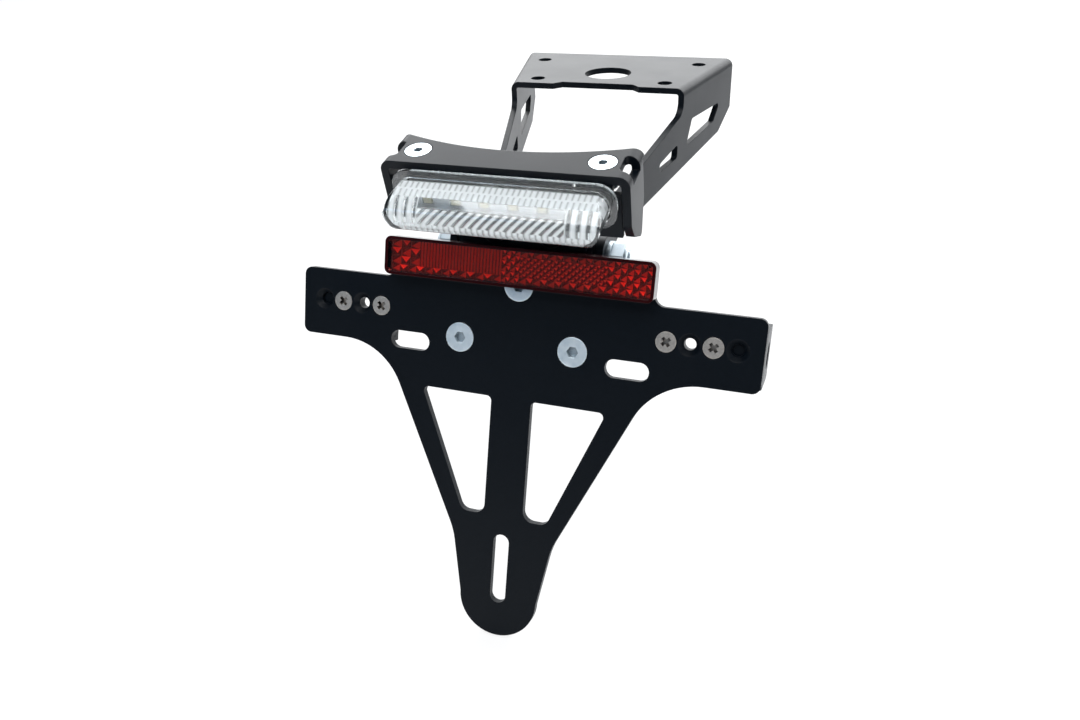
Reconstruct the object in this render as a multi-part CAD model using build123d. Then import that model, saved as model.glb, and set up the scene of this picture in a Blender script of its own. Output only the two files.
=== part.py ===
"""Motorbike tail tidy: folded tail bracket, lamp hood, number plate carrier, reflector and fixings.

Millimetres. X is right, Y runs forward along the bike, Z is up. The origin is midway between the
front pair of tail holes, on the top face of the tail bracket.
"""
import math
import os

from build123d import *

# Sheet metal
sheet = 3.0                    # carrier, hood and side brackets
tail_sheet = 2.5               # tail bracket
bend_inner = 1.0
lamp_sheet = 2.0               # lamp bracket

# Tail bracket
tail_front = 8.3               # front edge of the top plate, ahead of the front holes
tail_rear = 51.0
tail_half_front = 39.6         # outer half widths of the tapered top plate
tail_half_rear = 51.8
tail_hole = 6.4
tail_hole_front_half = 29.4
tail_hole_rear_half = 38.0
tail_hole_pitch = 36.3
cable_hole = 21.3
cable_hole_y = 14.0
notch_half = 19.65
notch_floor_half = 16.15
notch_depth = 3.5
leg_rear_depth = 22.6          # leg height at the rear edge
leg_heel = (36.8, -31.1)       # lowest rear corner of a leg (Y, Z)
leg_knee = (-46.7, -38.9)      # slight kink of the lower edge
leg_shoulder = 10.6            # drop of the front edge before the leg slopes away
leg_shoulder_fillet = 6.0
leg_window = ((2.2, -15.5), (36.7, -16.8), (29.3, -24.1), (-3.6, -26.6))
leg_slot = ((-13.1, -22.6), (-32.6, -25.9), (-31.3, -29.4), (-13.6, -28.9))
window_fillet = 1.6

# Clamping axis where the carrier bracket is bolted to the legs (Y, Z)
pivot_y = -97.6
pivot_z = -39.6
leg_end_radius = 7.0
carrier_tilt = 20.6            # degrees from upright, top leaning forward
pivot_up = 35.1                # axis above the lower carrier bolts, along the carrier
pivot_back = 13.5              # axis behind the carrier's front face

# Carrier bracket
bracket_half = 30.0            # outer half width over the ears
bracket_top = 33.0
bracket_bottom = -9.0
shoulder_top = 39.5            # of the plate between the ears
tongue_half = 24.2
tongue_top = 51.9
ear_bottom = 4.5
ear_foot = 9.0
fold_relief = 2.0              # slit that ends the fold below an ear's free edge
ear_radius = 7.8
ear_crown = 7.0                # rounding of an ear's upper corners

# Carrier plate, measured along the plate from the lower bolts
wing_half = 91.0
wing_top = 20.4
wing_bottom = -6.2
wing_fillet = 3.0
tab_half = 51.0
tab_top = 35.0
tab_fillet = 4.0
arm_half = 54.5                # where the arms' edges would meet the wings' lower edge
arm_fillet = 27.0
neck_half = 20.5
neck_level = -78.5
neck_fillet = 30.0
tip_radius = 16.0
tip_level = -103.5
web = 16.0
window_top = -21.2
window_half = 37.4
window_foot_half = 17.6
window_foot = -69.3
window_foot_radius = 4.2
window_top_radius = 2.0
upper_slot = (16.5, 7.0)
upper_slot_place = (43.4, -4.0)
lower_slot = (29.0, 6.5)
lower_slot_level = -91.0
bolt_inset = 7.5               # lower bolts in from the carrier bracket's ears
upper_bolt_level = 22.0
wing_row_level = 8.25
wing_row_inset = 34.5          # first hole in from the wing's end
wing_row_pitch = 8.43

# Indicator brackets
indicator_length = 39.4        # along the wing, in from its end
indicator_half_height = 10.5
indicator_level = 4.8
indicator_depth = 27.0
indicator_hole = 10.2
indicator_hole_back = 18.5

# Lamp hood, placed from the carrier
hood_up = 63.7
hood_out = 28.3
hood_slope = 10.8
hood_half = 44.5
hood_depth = 20.5
hood_mid_depth = 12.2
hood_side = ((0.0, -18.2), (3.4, -24.4), (13.3, -30.4), (17.9, -16.7), (17.7, 0.0))
hood_screw_inset = 11.2        # screws in from the hood's ends
hood_screw_depth = 8.8
relief_inset = 4.8
relief_start = 4.0
relief_end = 14.0
relief_drop = 5.0
relief_fillet = 1.8

# Lamp bracket
lamp_plate_gap = 0.3           # side gap to the hood
lamp_plate_front = 0.5
lamp_plate_foot = 18.8         # the shelf's bend starts below this
lamp_side_foot = 23.2          # lower edge of the plate beside the shelf
lamp_shelf_drop = 22.4
lamp_tab_inward = 7.3          # tab edges either side of a hood screw
lamp_tab_outward = 5.0
lamp_slit = 1.0                # between a folded and an upright stretch
lamp_tab_rear = 14.4
lamp_corner_drop = 6.6
lamp_bend = 1.2
flange_low = 37.0
flange_high = 50.9
flange_screw_half = 11.0
flange_screw_level = 41.8

# Lamp
rim_inset = 4.2                # lamp rim in from the hood's ends
rim_top = 2.3
rim_bottom = 18.6
rim_radius = 6.4
rim_thick = 1.5
rim_ledge = 2.3                # rim beyond the lens at each end
gasket_thick = 1.0
gasket_inset = 2.2
lens_top = 4.5
lens_bottom = 17.8
lens_end_radius = 5.6
lens_low_radius = 7.5          # lower corners
lens_wall = 2.0
lens_crest = ((-10.5, -6.2), (-15.4, -10.6), (-16.6, -16.0), (-14.6, -17.8))
lamp_base_gap = 0.2
lamp_board_thick = 1.6
lamp_board_margin = 1.5
tray_depth = 3.0
tray_wall = 0.8
led_count = 6
led_pitch = 10.4
led_size = 3.0
led_height = 1.2
led_window = 4.4
stud_half = 20.0
stud_collar = 6.8
grommet_hole = 8.2
grommet_bore = 4.0
grommet_lip = 11.4
grommet_lip_thick = 1.6
grommet_gap = 0.1

# Rear reflector
reflector_half = 51.9
reflector_low = 22.1
reflector_high = 36.5
reflector_out = 7.3
reflector_fillet = 2.4
reflector_pad_thick = 0.8
reflector_pad_inset = 2.0
reflector_rim = 1.2
reflector_floor = 1.2

# Fixings: thread, across flats, nut height, washer outer and thickness, head width, socket
M6 = dict(thread=6.0, flats=10.0, nut=6.0, washer=12.0, thick=1.6, head=11.3, socket=4.0, button=10.5)
M5 = dict(thread=5.0, flats=8.0, nut=5.0, washer=10.0, thick=1.0, head=9.6, socket=3.0, button=9.5)
M4 = dict(thread=4.0, flats=7.0, nut=5.0, washer=9.0, thick=0.8, head=7.5)
hole_gap = 0.4                 # over the thread, in diameter
head_gap = 0.35                # round a sunk head, in radius
nut_gap = 0.1                  # nut bore over the thread, in diameter
nut_collar = 0.22              # share of a lock nut's height in its round collar
nut_collar_width = 0.88        # of the width across flats
thread_end = 1.2               # thread past the nut
socket_depth = 2.2
cross_width = 1.3
cross_length = 3.9
cross_depth = 1.9
cross_turn = 40.0              # degrees, as the screws stand
button_height = 0.55           # of the thread
button_round = 0.7             # of the head's height
button_socket = 0.65           # of the head's height
over = 1.0                     # cutters run past a face by this
through = 10.0                 # cutters that pass the lamp plate and its gasket
edge_break = 0.4

os.makedirs("parts", exist_ok=True)
bend_outer = bend_inner + sheet
tilt = math.radians(carrier_tilt)
slope = math.radians(hood_slope)
up_carrier = Vector(0, math.sin(tilt), math.cos(tilt))
out_carrier = Vector(0, -math.cos(tilt), math.sin(tilt))
pivot = Vector(0, pivot_y, pivot_z)
carrier_origin = pivot - up_carrier * pivot_up + out_carrier * pivot_back
carrier_face = Plane(origin=carrier_origin, x_dir=(1, 0, 0), z_dir=out_carrier)
carrier_side = Plane(origin=carrier_origin, x_dir=out_carrier * -1, z_dir=(1, 0, 0))
hood_origin = carrier_origin + up_carrier * hood_up + out_carrier * hood_out
hood_normal = Vector(0, -math.sin(slope), math.cos(slope))
hood_rearward = Vector(0, math.cos(slope), math.sin(slope))
hood_face = Plane(origin=hood_origin, x_dir=(1, 0, 0), z_dir=hood_normal)
hood_section = Plane(origin=hood_origin, x_dir=hood_rearward, z_dir=(1, 0, 0))
lamp_face = Plane(origin=hood_origin, x_dir=(1, 0, 0), z_dir=hood_rearward * -1)
stud_drop = (lens_top + lens_bottom) / 2
hood_screw_half = hood_half - hood_screw_inset
lamp_tab_inner = hood_screw_half - lamp_tab_inward
lamp_tab_outer = hood_screw_half + lamp_tab_outward
rim_half = hood_half - rim_inset
lens_half = rim_half - rim_ledge
sides = (-1, 1)


def save(name, *pieces):
    """Write one node; several pieces stay separate solids in it."""
    solids = [solid for piece in pieces for solid in piece.solids()]
    shape = solids[0] if len(solids) == 1 else Compound(children=solids)
    shape.label = name
    export_step(shape, f"parts/{name}.step")


def slab(plane, sketch, low, high):
    """A sketch on a plane, made solid between two heights over that plane."""
    return extrude(plane.offset(low) * sketch, high - low)


def across(plane, sketch, half):
    """A sketch on a plane, made solid by the same amount on both sides."""
    return extrude(plane * sketch, half, both=True)


def polygon(points):
    return make_face(Polyline(*points, close=True))


def rectangle(left, low, right, high):
    return Pos((left + right) / 2, (low + high) / 2) * Rectangle(right - left, high - low)


def flank(side, inner, outer, low, high):
    """A rectangle on one side of the middle."""
    left, right = sorted((side * inner, side * outer))
    return rectangle(left, low, right, high)


def bore(diameter, low, high):
    return Pos(0, 0, (low + high) / 2) * Cylinder(diameter / 2, high - low)


def corners(sketch, x, y, near=0.5):
    """The sketch's corners at a point and at its mirror image."""
    return [v for v in sketch.vertices() if abs(abs(v.X) - x) < near and abs(v.Y - y) < near]


def sunk_hole(size, depth):
    """Cutter for a countersunk screw: its mouth lies at height zero."""
    mouth = size["head"] / 2 + head_gap
    shank = (size["thread"] + hole_gap) / 2
    cone = Pos(0, 0, -(mouth - shank) / 2) * Cone(shank, mouth, mouth - shank)
    return cone + bore(2 * shank, -depth - over, 0)


def sunk_screw(size, length, recess):
    """Countersunk screw with its flat head flush at height zero."""
    head = size["head"] / 2
    shank = size["thread"] / 2
    cone = Pos(0, 0, -(head - shank) / 2) * Cone(shank, head, head - shank)
    body = cone + bore(2 * shank, -length, -(head - shank) / 2)
    return chamfer_end(body) - recess


def chamfer_end(body):
    """Break the edge of the lowest round end."""
    return chamfer(body.edges().filter_by(GeomType.CIRCLE).sort_by(Axis.Z)[0], edge_break)


def hex_recess(flats, depth, top=0.0):
    return Pos(0, 0, top - depth) * extrude(RegularPolygon(flats / 2, 6, major_radius=False), depth)


def cross_recess():
    bar = Pos(0, 0, -cross_depth / 2) * Box(cross_length, cross_width, cross_depth)
    return Rot(Z=cross_turn) * (bar + Rot(Z=90) * bar)


def lock_nut(size):
    """Nylon insert nut standing on height zero."""
    body = size["nut"] * (1 - nut_collar)
    prism = extrude(RegularPolygon(size["flats"] / 2, 6, major_radius=False), body)
    collar = bore(size["flats"] * nut_collar_width, body, size["nut"])
    collar = chamfer(collar.edges().filter_by(GeomType.CIRCLE).sort_by(Axis.Z)[-1], edge_break)
    return prism + collar - bore(size["thread"] + nut_gap, -over, size["nut"] + over)


def washer(size):
    disc = bore(size["washer"], 0, size["thick"])
    return disc - bore(size["thread"] + hole_gap, -over, size["thick"] + over)


def button_screw(size, length):
    """Round head screw: the head stands on height zero and the thread hangs below it."""
    height = size["thread"] * button_height
    head = bore(size["button"], 0, height)
    head = fillet(head.edges().filter_by(GeomType.CIRCLE).sort_by(Axis.Z)[-1], height * button_round)
    body = head + bore(size["thread"], -length, 0)
    return chamfer_end(body) - hex_recess(size["socket"], height * button_socket, height)


def rounded_box(half, low, high, radius):
    sketch = rectangle(-half, low, half, high)
    return fillet(sketch.vertices(), radius)


# Tail bracket: a tapered top plate with two legs folded down and set parallel at their ends
splay = (tail_half_rear - tail_half_front) / (tail_rear + tail_front)
leg_end_half = bracket_half - sheet
leg_set_y = -tail_front - (tail_half_front - leg_end_half) / splay
past = 30.0                    # construction length past the trimmed ends
deep = 80.0


def tail_profile():
    """Outline of a leg seen from the side, with its round end on the clamping axis."""
    outline = polygon((
        (tail_rear, 0), (tail_rear, -leg_rear_depth), leg_heel, leg_knee,
        (pivot_y, pivot_z - leg_end_radius), (pivot_y, pivot_z + leg_end_radius),
        (-tail_front, -leg_shoulder), (-tail_front, 0)))
    shoulder = [v for v in outline.vertices() if abs(v.X + tail_front) < 0.1 and v.Y < -1]
    outline = fillet(shoulder, leg_shoulder_fillet)
    return outline + Pos(pivot_y, pivot_z) * Circle(leg_end_radius)


def tail_walls():
    """Both legs in plan, a sheet thick, longer than the trimmed legs."""
    rear_half = tail_half_rear + past * splay
    plan = polygon((
        (-leg_end_half, pivot_y - past), (leg_end_half, pivot_y - past), (leg_end_half, leg_set_y),
        (rear_half, tail_rear + past), (-rear_half, tail_rear + past), (-leg_end_half, leg_set_y)))
    return extrude(plan, -deep) - extrude(offset(plan, -tail_sheet, kind=Kind.INTERSECTION), -deep)


def fold_edges(body, level):
    """The long fold edges of the tail bracket at one height."""
    return [e for e in body.edges().filter_by(GeomType.LINE)
            if abs(e.center().Z - level) < 0.01 and abs(e.center().X) > tail_half_front / 2
            and abs(e.tangent_at(0.5).Y) > 0.9 and e.length > tail_rear / 2]


def make_tail_bracket():
    top_plan = polygon((
        (-tail_half_front, -tail_front), (tail_half_front, -tail_front),
        (tail_half_rear, tail_rear), (-tail_half_rear, tail_rear)))
    legs = tail_walls() & across(Plane.YZ, tail_profile(), tail_half_rear + past)
    body = extrude(top_plan, -tail_sheet) + legs
    body = fillet(fold_edges(body, 0), bend_inner + tail_sheet)
    body = fillet(fold_edges(body, -tail_sheet), bend_inner)
    windows = [fillet(polygon(points).vertices(), window_fillet) for points in (leg_window, leg_slot)]
    for window in windows:
        body -= across(Plane.YZ, window, tail_half_rear + past)
    body -= across(Plane.YZ, Pos(pivot_y, pivot_z) * Circle((M6["thread"] + hole_gap) / 2), bracket_half)
    notch = polygon((
        (-notch_half, -tail_front), (notch_half, -tail_front),
        (notch_floor_half, -tail_front + notch_depth), (-notch_floor_half, -tail_front + notch_depth)))
    body -= extrude(notch, -tail_sheet)
    body -= Pos(0, cable_hole_y) * bore(cable_hole, -tail_sheet - over, over)
    for side in sides:
        body -= Pos(side * tail_hole_front_half, 0) * bore(tail_hole, -tail_sheet - over, over)
        body -= Pos(side * tail_hole_rear_half, tail_hole_pitch) * bore(tail_hole, -tail_sheet - over, over)
    return body


# Places along the carrier
lower_bolt_half = bracket_half - bolt_inset
carrier_bolts_at = ((-lower_bolt_half, 0), (lower_bolt_half, 0), (0, upper_bolt_level))
wing_row_first = wing_half - wing_row_inset
wing_holes = [wing_row_first + step * wing_row_pitch for step in range(4)]
screwed = (wing_holes[0], wing_holes[2])


def on_carrier(u, v, n=0.0):
    return carrier_face.location * Pos(u, v, n)


def carrier_outline():
    """Wings, the tab behind the reflector and the arms that run down to the round tip."""
    right = [
        (tab_half, tab_top), (tab_half, wing_top), (wing_half, wing_top), (wing_half, wing_bottom),
        (arm_half, wing_bottom), (neck_half, neck_level), (tip_radius, tip_level)]
    left = [(-u, v) for u, v in reversed(right)]
    outline = polygon(right + left)
    outline = fillet(corners(outline, arm_half, wing_bottom), arm_fillet)
    outline = fillet(corners(outline, neck_half, neck_level), neck_fillet)
    outline = fillet(corners(outline, tab_half, wing_top), tab_fillet)
    for level in (wing_top, wing_bottom):
        outline = fillet(corners(outline, wing_half, level), wing_fillet)
    outline = fillet(corners(outline, tab_half, tab_top), wing_fillet)
    return outline + Pos(0, tip_level) * Circle(tip_radius)


def carrier_window(side):
    """One of the two tapered windows beside the middle web."""
    inner = web / 2
    window = polygon((
        (side * inner, window_top), (side * window_half, window_top),
        (side * window_foot_half, window_foot), (side * inner, window_foot)))
    foot = [v for v in window.vertices() if v.Y < (window_top + window_foot) / 2]
    window = fillet(foot, window_foot_radius)
    top = [v for v in window.vertices() if abs(v.Y - window_top) < 0.1]
    return fillet(top, window_top_radius)


def make_carrier_plate():
    body = slab(carrier_face, carrier_outline(), -sheet, 0)
    cuts = [carrier_window(side) for side in sides]
    slot_u, slot_v = upper_slot_place
    cuts += [Pos(side * slot_u, slot_v) * SlotOverall(*upper_slot) for side in sides]
    cuts.append(Pos(0, lower_slot_level) * Rot(Z=90) * SlotOverall(*lower_slot))
    for cut in cuts:
        body -= slab(carrier_face, cut, -sheet - over, over)
    for u, v in carrier_bolts_at:
        body -= on_carrier(u, v) * sunk_hole(M6, sheet)
    for u in wing_holes:
        for side in sides:
            body -= on_carrier(side * u, wing_row_level) * sunk_hole(M4, sheet)
    return body


def make_carrier_bracket():
    """Folded bracket behind the carrier: a face plate, a tongue for the lamp and two side ears."""
    back = -2 * sheet
    plate = rectangle(-bracket_half, bracket_bottom, bracket_half, bracket_top)
    shoulder_half = bracket_half - bend_outer
    plate += rectangle(-shoulder_half, bracket_bottom, shoulder_half, shoulder_top)
    plate += rectangle(-tongue_half, bracket_bottom, tongue_half, tongue_top)
    body = slab(carrier_face, plate, back, -sheet)
    ear_rear = pivot_back + ear_radius
    ear = polygon((
        (sheet, ear_bottom), (sheet, pivot_up + ear_radius), (ear_rear, pivot_up + ear_radius),
        (ear_rear, pivot_up - ear_radius), (sheet + ear_foot, ear_bottom)))
    crown = [v for v in ear.vertices() if v.Y > pivot_up]
    ear = fillet(crown, ear_crown)
    ear -= Pos(pivot_back, pivot_up) * Circle((M6["thread"] + hole_gap) / 2)
    for side in sides:
        low, high = sorted((side * bracket_half, side * (bracket_half - sheet)))
        body += slab(carrier_side, ear, low, high)
        edge = bracket_half + over
        skirt = flank(side, bracket_half - sheet, edge, bracket_bottom - over, ear_bottom)
        body -= slab(carrier_face, skirt, back - over, 0)
        relief = flank(side, shoulder_half, edge, bracket_top - fold_relief, bracket_top)
        body -= slab(carrier_face, relief, -sheet - bend_outer, 0)
    body = fillet([e for e in body.edges().filter_by(GeomType.LINE) if is_ear_fold(e)], bend_outer)
    for u, v in carrier_bolts_at:
        body -= on_carrier(u, v) * bore(M6["thread"] + hole_gap, back - over, 0)
    for side in sides:
        hole = bore(M5["thread"] + hole_gap, back - over, 0)
        body -= on_carrier(side * flange_screw_half, flange_screw_level) * hole
    return body


def is_ear_fold(edge):
    """The outer fold edge between the face plate and an ear."""
    place = carrier_face.to_local_coords(edge.center())
    along = abs(edge.tangent_at(0.5).dot(up_carrier)) > 0.99
    at_corner = abs(abs(place.X) - bracket_half) < 0.01 and abs(place.Z + sheet) < 0.01
    return along and at_corner and place.Y < bracket_top


def in_hood(x, depth, height):
    return hood_face.location * Pos(x, depth, height)


def make_lamp_hood():
    """Folded roof over the lamp, with a hollow rear edge and a cheek at each end."""
    rise = hood_depth - hood_mid_depth
    arc_radius = (hood_half ** 2 + rise ** 2) / (2 * rise)
    roof = rectangle(-hood_half, 0, hood_half, hood_depth)
    roof -= Pos(0, hood_mid_depth + arc_radius) * Circle(arc_radius)
    body = slab(hood_face, roof, -sheet, 0)
    cheek = polygon(((0.0, 0.0),) + hood_side)
    cheek = fillet([v for v in cheek.vertices() if v.Y < -hood_depth / 2], relief_fillet)
    for side in sides:
        low, high = sorted((side * hood_half, side * (hood_half - sheet)))
        body += slab(hood_section, cheek, low, high)
    outer = [e for e in body.edges().filter_by(GeomType.LINE) if is_hood_fold(e, 0, hood_half)]
    body = fillet(outer, bend_outer)
    inner = [e for e in body.edges().filter_by(GeomType.LINE) if is_hood_fold(e, -sheet, hood_half - sheet)]
    body = fillet(inner, bend_inner)
    slot = rectangle(hood_half - relief_inset, relief_start, hood_half + past, relief_end)
    slot = fillet(slot.vertices(), relief_fillet)
    for mirrored in (slot, mirror(slot, Plane.YZ)):
        body -= slab(hood_face, mirrored, -relief_drop, over)
    for side in sides:
        body -= in_hood(side * hood_screw_half, hood_screw_depth, 0) * sunk_hole(M5, sheet)
    return body


def is_hood_fold(edge, height, half):
    place = hood_face.to_local_coords(edge.center())
    along = abs(edge.tangent_at(0.5).dot(hood_rearward)) > 0.99
    return along and abs(abs(place.X) - half) < 0.01 and abs(place.Z - height) < 0.01


def lamp_section_points():
    """Front line of the lamp bracket's sheet in its side view, from the lower flange to the tabs."""
    out = lamp_sheet - sheet
    low = carrier_origin + up_carrier * flange_low + out_carrier * out
    high = carrier_origin + up_carrier * flange_high + out_carrier * out
    foot = hood_origin + hood_rearward * lamp_plate_front - hood_normal * lamp_shelf_drop
    top = hood_origin + hood_rearward * lamp_plate_front - hood_normal * sheet
    tab = hood_origin + hood_rearward * lamp_tab_rear - hood_normal * sheet
    return [(p.Y, p.Z) for p in (low, high, foot, top, tab)]


def lamp_section():
    """The folded sheet in side view: its rear line is the front line moved in by the sheet."""
    front = lamp_section_points()
    line = FilletPolyline(*front, radius=lamp_bend + lamp_sheet)
    return make_face(offset(line, lamp_sheet, side=Side.RIGHT))


def make_lamp_bracket():
    """Folded sheet that carries the lamp: a flange on the tongue, a shelf, the lamp plate and two tabs."""
    half = hood_half - sheet - lamp_plate_gap
    body = across(Plane.YZ, lamp_section(), half)
    below = -hood_side[2][1] * 2
    rear = hood_depth * 2
    for side in sides:
        body -= slab(hood_face, flank(side, tongue_half, hood_half, -past, rear), -below, -lamp_plate_foot)
        skirt = flank(side, tongue_half + lamp_slit, half, -lamp_side_foot, -lamp_plate_foot)
        body += slab(lamp_face, skirt, plate_back, -lamp_plate_front)
        body -= slab(hood_face, flank(side, lamp_tab_outer, hood_half, -past, rear), -lamp_corner_drop, over)
    middle = rectangle(-lamp_tab_inner, -past, lamp_tab_inner, rear)
    body -= slab(hood_face, middle, -lamp_corner_drop, over)
    upright_half = lamp_tab_inner - lamp_slit
    upright = rectangle(-upright_half, -lamp_corner_drop, upright_half, -sheet - lamp_plate_gap)
    body += slab(lamp_face, upright, plate_back, -lamp_plate_front)
    for side in sides:
        hole = bore(M5["thread"] + hole_gap, -through, 0)
        body -= in_hood(side * hood_screw_half, hood_screw_depth, 0) * hole
        body -= on_lamp(side * stud_half, -stud_drop) * hole
        hole = bore(M5["thread"] + hole_gap, -sheet - over, sheet)
        body -= on_carrier(side * flange_screw_half, flange_screw_level) * hole
    body -= on_lamp(0, -stud_drop) * bore(grommet_hole, -through, 0)
    return body


def on_lamp(x, height, out=0.0):
    return lamp_face.location * Pos(x, height, out)


# Lamp, measured out from the hood's front edge: plate, gasket, rim and lens
gasket_out = -lamp_plate_front + gasket_thick
rim_out = gasket_out + rim_thick
plate_back = -lamp_plate_front - lamp_sheet


def lens_outline(inset):
    """The lens seen from the front, or the same outline drawn in."""
    outline = rectangle(inset - lens_half, inset - lens_bottom, lens_half - inset, -lens_top - inset)
    middle = -(lens_top + lens_bottom) / 2
    outline = fillet([v for v in outline.vertices() if v.Y > middle], lens_end_radius - inset)
    return fillet([v for v in outline.vertices() if v.Y < middle - over], lens_low_radius - inset)


def lens_body(wall):
    """The lens as a solid form, or its inside when a wall is taken off."""
    rear = gasket_out if wall else rim_out
    crest = [(-depth, height) for depth, height in lens_crest]
    section = polygon([(rear, -lens_top), *crest, (rear, -lens_bottom)])
    section = fillet([v for v in section.vertices() if v.X > rear + over], lens_wall)
    if wall:
        section = offset(section, -wall, kind=Kind.INTERSECTION)
        section += rectangle(rear - over, wall - lens_bottom, rear + wall + over, -lens_top - wall)
    plane = Plane(origin=hood_origin, x_dir=hood_rearward * -1, z_dir=(-1, 0, 0))
    front = slab(lamp_face, lens_outline(wall), rear - 2 * over, deep)
    return across(plane, section, lens_half - wall) & front


def make_lamp_lens():
    """Clear lens with its flat rim."""
    rim = rounded_box(rim_half, -rim_bottom, -rim_top, rim_radius)
    return slab(lamp_face, rim, gasket_out, rim_out) + lens_body(0) - lens_body(lens_wall)


def lens_inside(inset):
    return lens_outline(lens_wall + inset)


def make_lamp_gasket():
    inset = gasket_inset
    ring = rounded_box(rim_half - inset, -rim_bottom + inset, -rim_top - inset, rim_radius - inset)
    body = slab(lamp_face, ring, -lamp_plate_front, gasket_out)
    body -= on_lamp(0, -stud_drop) * bore(grommet_hole, -through, through)
    for side in sides:
        body -= on_lamp(side * stud_half, -stud_drop) * bore(M5["thread"] + hole_gap, -through, through)
    return body


board_out = rim_out
led_out = board_out + lamp_board_thick
led_row = [led_pitch * (step - (led_count - 1) / 2) for step in range(led_count)]


def make_lamp_base():
    """Moulded base that closes the lens from behind, with a cable hole."""
    body = slab(lamp_face, lens_inside(lamp_base_gap), gasket_out, board_out)
    body -= on_lamp(0, -stud_drop) * bore(grommet_bore, 0, deep)
    for side in sides:
        body -= on_lamp(side * stud_half, -stud_drop) * bore(stud_collar + nut_gap, 0, deep)
    return body


def make_led_board():
    return slab(lamp_face, lens_inside(lamp_board_margin), board_out, led_out)


def make_leds():
    chip = Box(led_size, led_size, led_height)
    return [on_lamp(x, -stud_drop, led_out + led_height / 2) * chip for x in led_row]


def make_lamp_tray():
    """Bright tray on the board, with a window round each light."""
    outer = slab(lamp_face, lens_inside(lamp_board_margin), led_out, led_out + tray_depth)
    inner = slab(lamp_face, lens_inside(lamp_board_margin + tray_wall), led_out + tray_wall, deep)
    body = outer - inner
    for x in led_row:
        body -= on_lamp(x, -stud_drop, led_out + tray_depth / 2) * Box(led_window, led_window, tray_depth)
    return body


def make_lamp_stud():
    """Threaded stud held in the base by its collar."""
    tip = plate_back - M5["thick"] - M5["nut"] - thread_end
    return chamfer_end(bore(stud_collar, gasket_out, board_out) + bore(M5["thread"], tip, gasket_out))


def make_grommet():
    """Rubber sleeve through the lamp plate with a lip behind it."""
    body = bore(grommet_hole - 2 * grommet_gap, plate_back, gasket_out)
    body += bore(grommet_lip, plate_back - grommet_lip_thick, plate_back)
    return body - bore(grommet_bore, plate_back - grommet_lip_thick - over, gasket_out + over)


# Reflector, stacked out from the carrier's front face
reflector_base_out = reflector_pad_thick + reflector_floor


def reflector_box(inset):
    low = reflector_low + inset
    high = reflector_high - inset
    return rounded_box(reflector_half - inset, low, high, max(reflector_fillet - inset, edge_break))


def make_reflector_pad():
    pad = rectangle(-reflector_half + reflector_pad_inset, reflector_low + reflector_pad_inset,
                    reflector_half - reflector_pad_inset, tab_top - reflector_pad_inset / 2)
    return slab(carrier_face, pad, 0, reflector_pad_thick)


def make_reflector_base():
    """Dark tray that holds the red lens."""
    body = slab(carrier_face, reflector_box(0), reflector_pad_thick, reflector_out)
    return body - slab(carrier_face, reflector_box(reflector_rim), reflector_base_out, deep)


def make_reflector_lens():
    return slab(carrier_face, reflector_box(reflector_rim), reflector_base_out, reflector_out - edge_break)


def make_indicator_bracket(side):
    """Angle behind a wing, with a flange folded back for an indicator stalk."""
    low = indicator_level - indicator_half_height
    high = indicator_level + indicator_half_height
    back = -2 * sheet
    body = slab(carrier_face, flank(side, wing_half - indicator_length, wing_half, low, high), back, -sheet)
    inner, outer = sorted((side * (wing_half - sheet), side * wing_half))
    flange = rectangle(sheet, low, sheet + indicator_depth, high)
    tail = [v for v in flange.vertices() if v.X > sheet + over]
    flange = fillet(tail, wing_fillet)
    flange -= Pos(indicator_hole_back, indicator_level) * Circle(indicator_hole / 2)
    body += slab(carrier_side, flange, inner, outer)
    body = fillet([e for e in body.edges().filter_by(GeomType.LINE) if is_wing_fold(e)], bend_outer)
    for u in wing_holes[:3]:
        body -= on_carrier(side * u, wing_row_level) * bore(M4["thread"] + hole_gap, back - over, 0)
    return body


def is_wing_fold(edge):
    place = carrier_face.to_local_coords(edge.center())
    along = abs(edge.tangent_at(0.5).dot(up_carrier)) > 0.99
    return along and abs(abs(place.X) - wing_half) < 0.01 and abs(place.Z + sheet) < 0.01


def washer_behind(size, place, seat):
    return place * Pos(0, 0, seat) * Rot(X=180) * washer(size)


def nut_behind(size, place, seat):
    return place * Pos(0, 0, seat) * Rot(X=180) * lock_nut(size)


def reach(size, seat):
    """Length of a screw from its head's face to just past a nut that stands on the seat."""
    return size["nut"] + thread_end - seat


def side_place(side):
    """On the clamping axis, pointing outwards."""
    return Location((0, pivot_y, pivot_z)) * Rot(Y=90 * side)


save("tail_bracket", make_tail_bracket())
save("carrier_plate", make_carrier_plate())
save("carrier_bracket", make_carrier_bracket())
save("lamp_hood", make_lamp_hood())
save("lamp_bracket", make_lamp_bracket())
save("lamp_lens", make_lamp_lens())
save("lamp_gasket", make_lamp_gasket())
save("lamp_base", make_lamp_base())
save("lamp_tray", make_lamp_tray())
save("led_board", make_led_board())
save("leds", *make_leds())
save("cable_grommet", on_lamp(0, -stud_drop) * make_grommet())
save("reflector_pad", make_reflector_pad())
save("reflector_base", make_reflector_base())
save("reflector_lens", make_reflector_lens())
save("indicator_bracket_left", make_indicator_bracket(-1))
save("indicator_bracket_right", make_indicator_bracket(1))

hex_socket = hex_recess(M6["socket"], socket_depth)
carrier_seat = -2 * sheet
bolt_seat = carrier_seat - M6["thick"]
bolt_places = [on_carrier(u, v) for u, v in carrier_bolts_at]
save("carrier_bolts", *[place * sunk_screw(M6, reach(M6, bolt_seat), hex_socket) for place in bolt_places])
save("carrier_washers", *[washer_behind(M6, place, carrier_seat) for place in bolt_places])
save("carrier_nuts", *[nut_behind(M6, place, bolt_seat) for place in bolt_places])

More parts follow.
